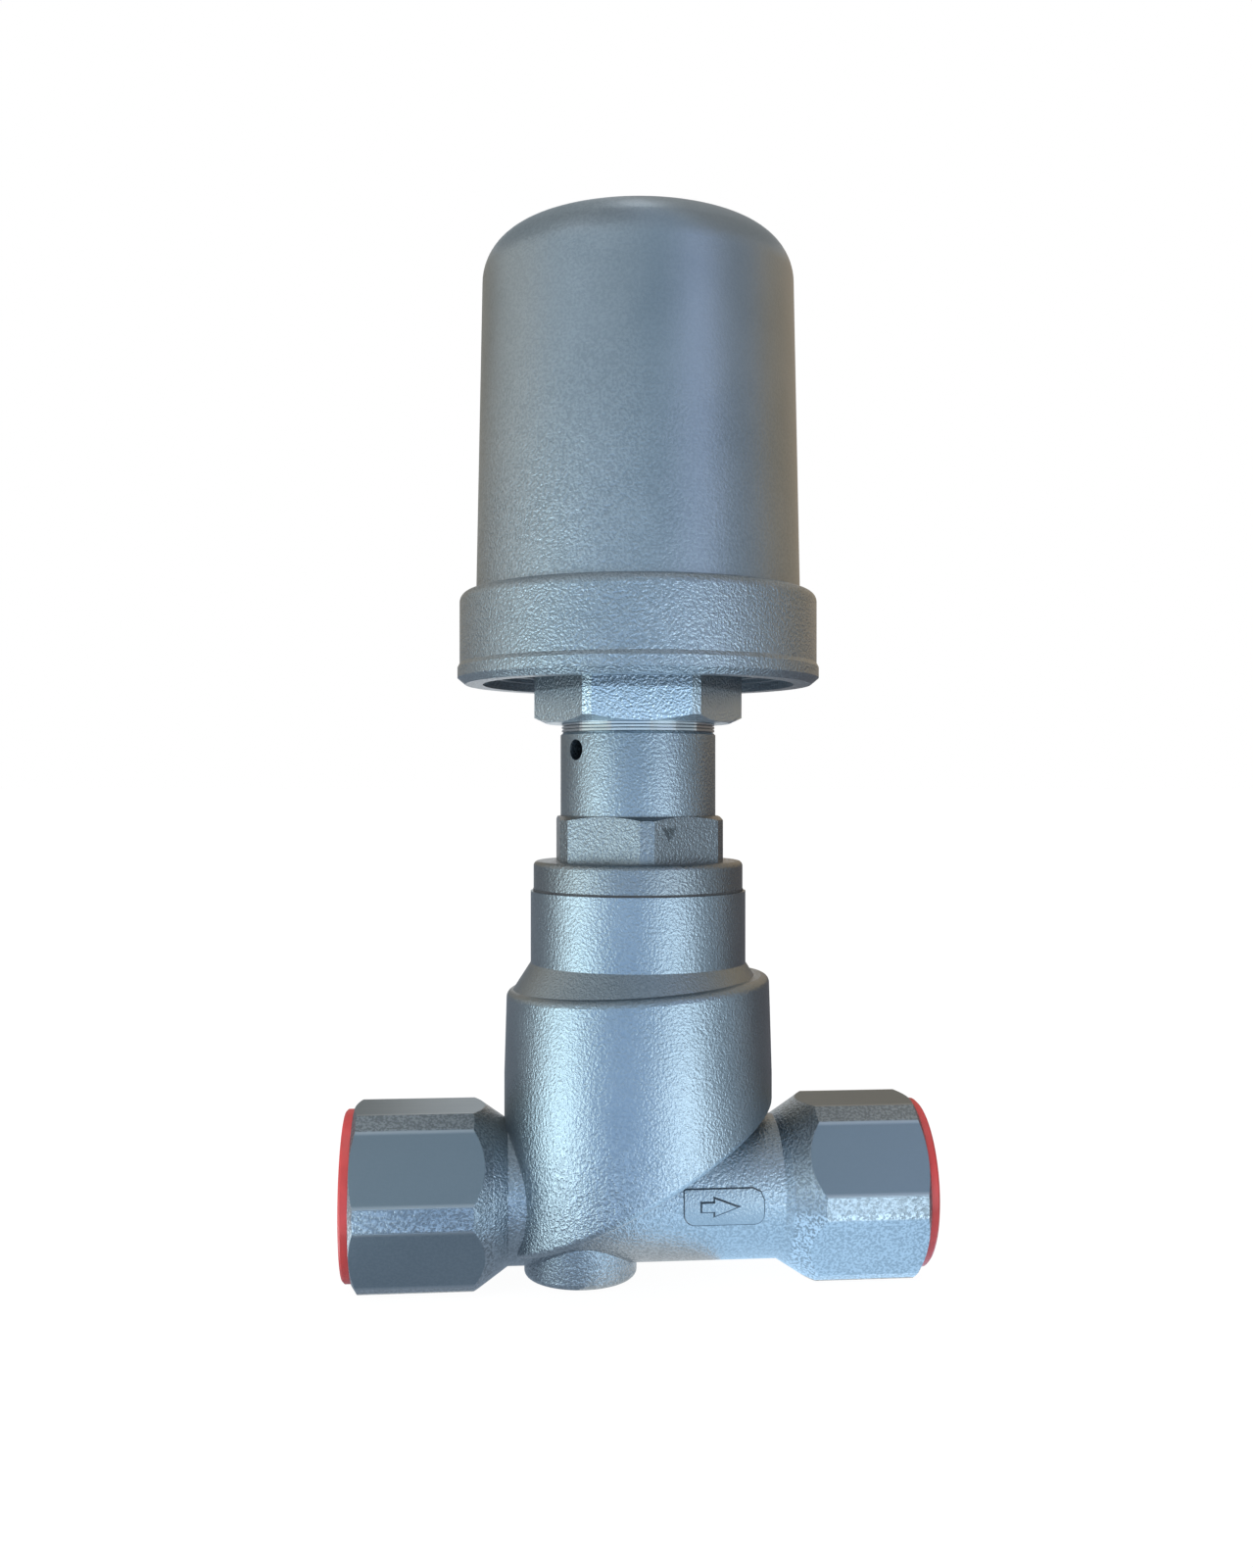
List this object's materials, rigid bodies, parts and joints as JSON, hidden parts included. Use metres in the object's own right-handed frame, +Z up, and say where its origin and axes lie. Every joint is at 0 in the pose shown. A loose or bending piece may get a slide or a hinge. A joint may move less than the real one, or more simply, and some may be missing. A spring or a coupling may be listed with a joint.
{
  "type": "pneumatic seat valve",
  "caption": "Straight-through pneumatic seat valve: cast body with hexagonal female ports, upright chamber, bonnet and cup-shaped piston actuator, with plastic port caps.",
  "frame": {"origin": "where the pipe axis crosses the stem axis", "axes": "+X along the pipe with the flow, from inlet to outlet; +Z up the stem to the actuator; -Y is the side with the weep hole, +Y the side with the pilot air port"},
  "size_m": [0.1364, 0.0854, 0.2465],
  "materials": {
    "cast_steel": "shot-blasted investment casting",
    "turned_steel": "fine turned and polished",
    "spring_steel": "drawn wire",
    "ptfe": "smooth white PTFE",
    "rubber": "moulded seal rubber",
    "bronze": "sintered bronze",
    "aluminium": "machined",
    "red_plastic": "moulded polyethylene"
  },
  "bodies": {
    "valve": {"valve_body": "cast_steel", "body_gasket": "ptfe", "bonnet": "cast_steel", "stem_guide": "ptfe", "packing_base_ring": "ptfe", "packing_v_rings": "ptfe", "packing_header": "ptfe", "disc_springs": "spring_steel", "gland_bush": "turned_steel", "actuator_base": "cast_steel", "guide_bush": "bronze", "rod_seal": "rubber", "outer_spring": "spring_steel", "inner_spring": "spring_steel", "spring_seat": "turned_steel", "actuator_cup": "cast_steel", "cup_o_ring": "rubber", "vent_plug": "bronze"},
    "lift_group": {"stem": "turned_steel", "plug": "turned_steel", "disc_seal": "ptfe", "disc_washer": "turned_steel", "disc_nut": "turned_steel", "piston": "aluminium", "piston_seal": "rubber", "piston_wear_ring": "ptfe", "piston_washer": "turned_steel", "piston_nut": "turned_steel"},
    "inlet_cover": {"inlet_cap": "red_plastic"},
    "outlet_cover": {"outlet_cap": "red_plastic"}
  },
  "joints": [
    {"name": "piston_lift", "type": "slide", "parent": "valve", "child": "lift_group", "axis": [0, 0, 1], "range_m": [0, 0.012], "stiffness_N_per_m": 1000, "deforming": ["outer_spring", "inner_spring"]},
    {"name": "inlet_cap_pull", "type": "slide", "parent": "valve", "child": "inlet_cover", "axis": [-1, 0, 0], "range_m": [0, 0.04]},
    {"name": "outlet_cap_pull", "type": "slide", "parent": "valve", "child": "outlet_cover", "axis": [1, 0, 0], "range_m": [0, 0.04]}
  ]
}
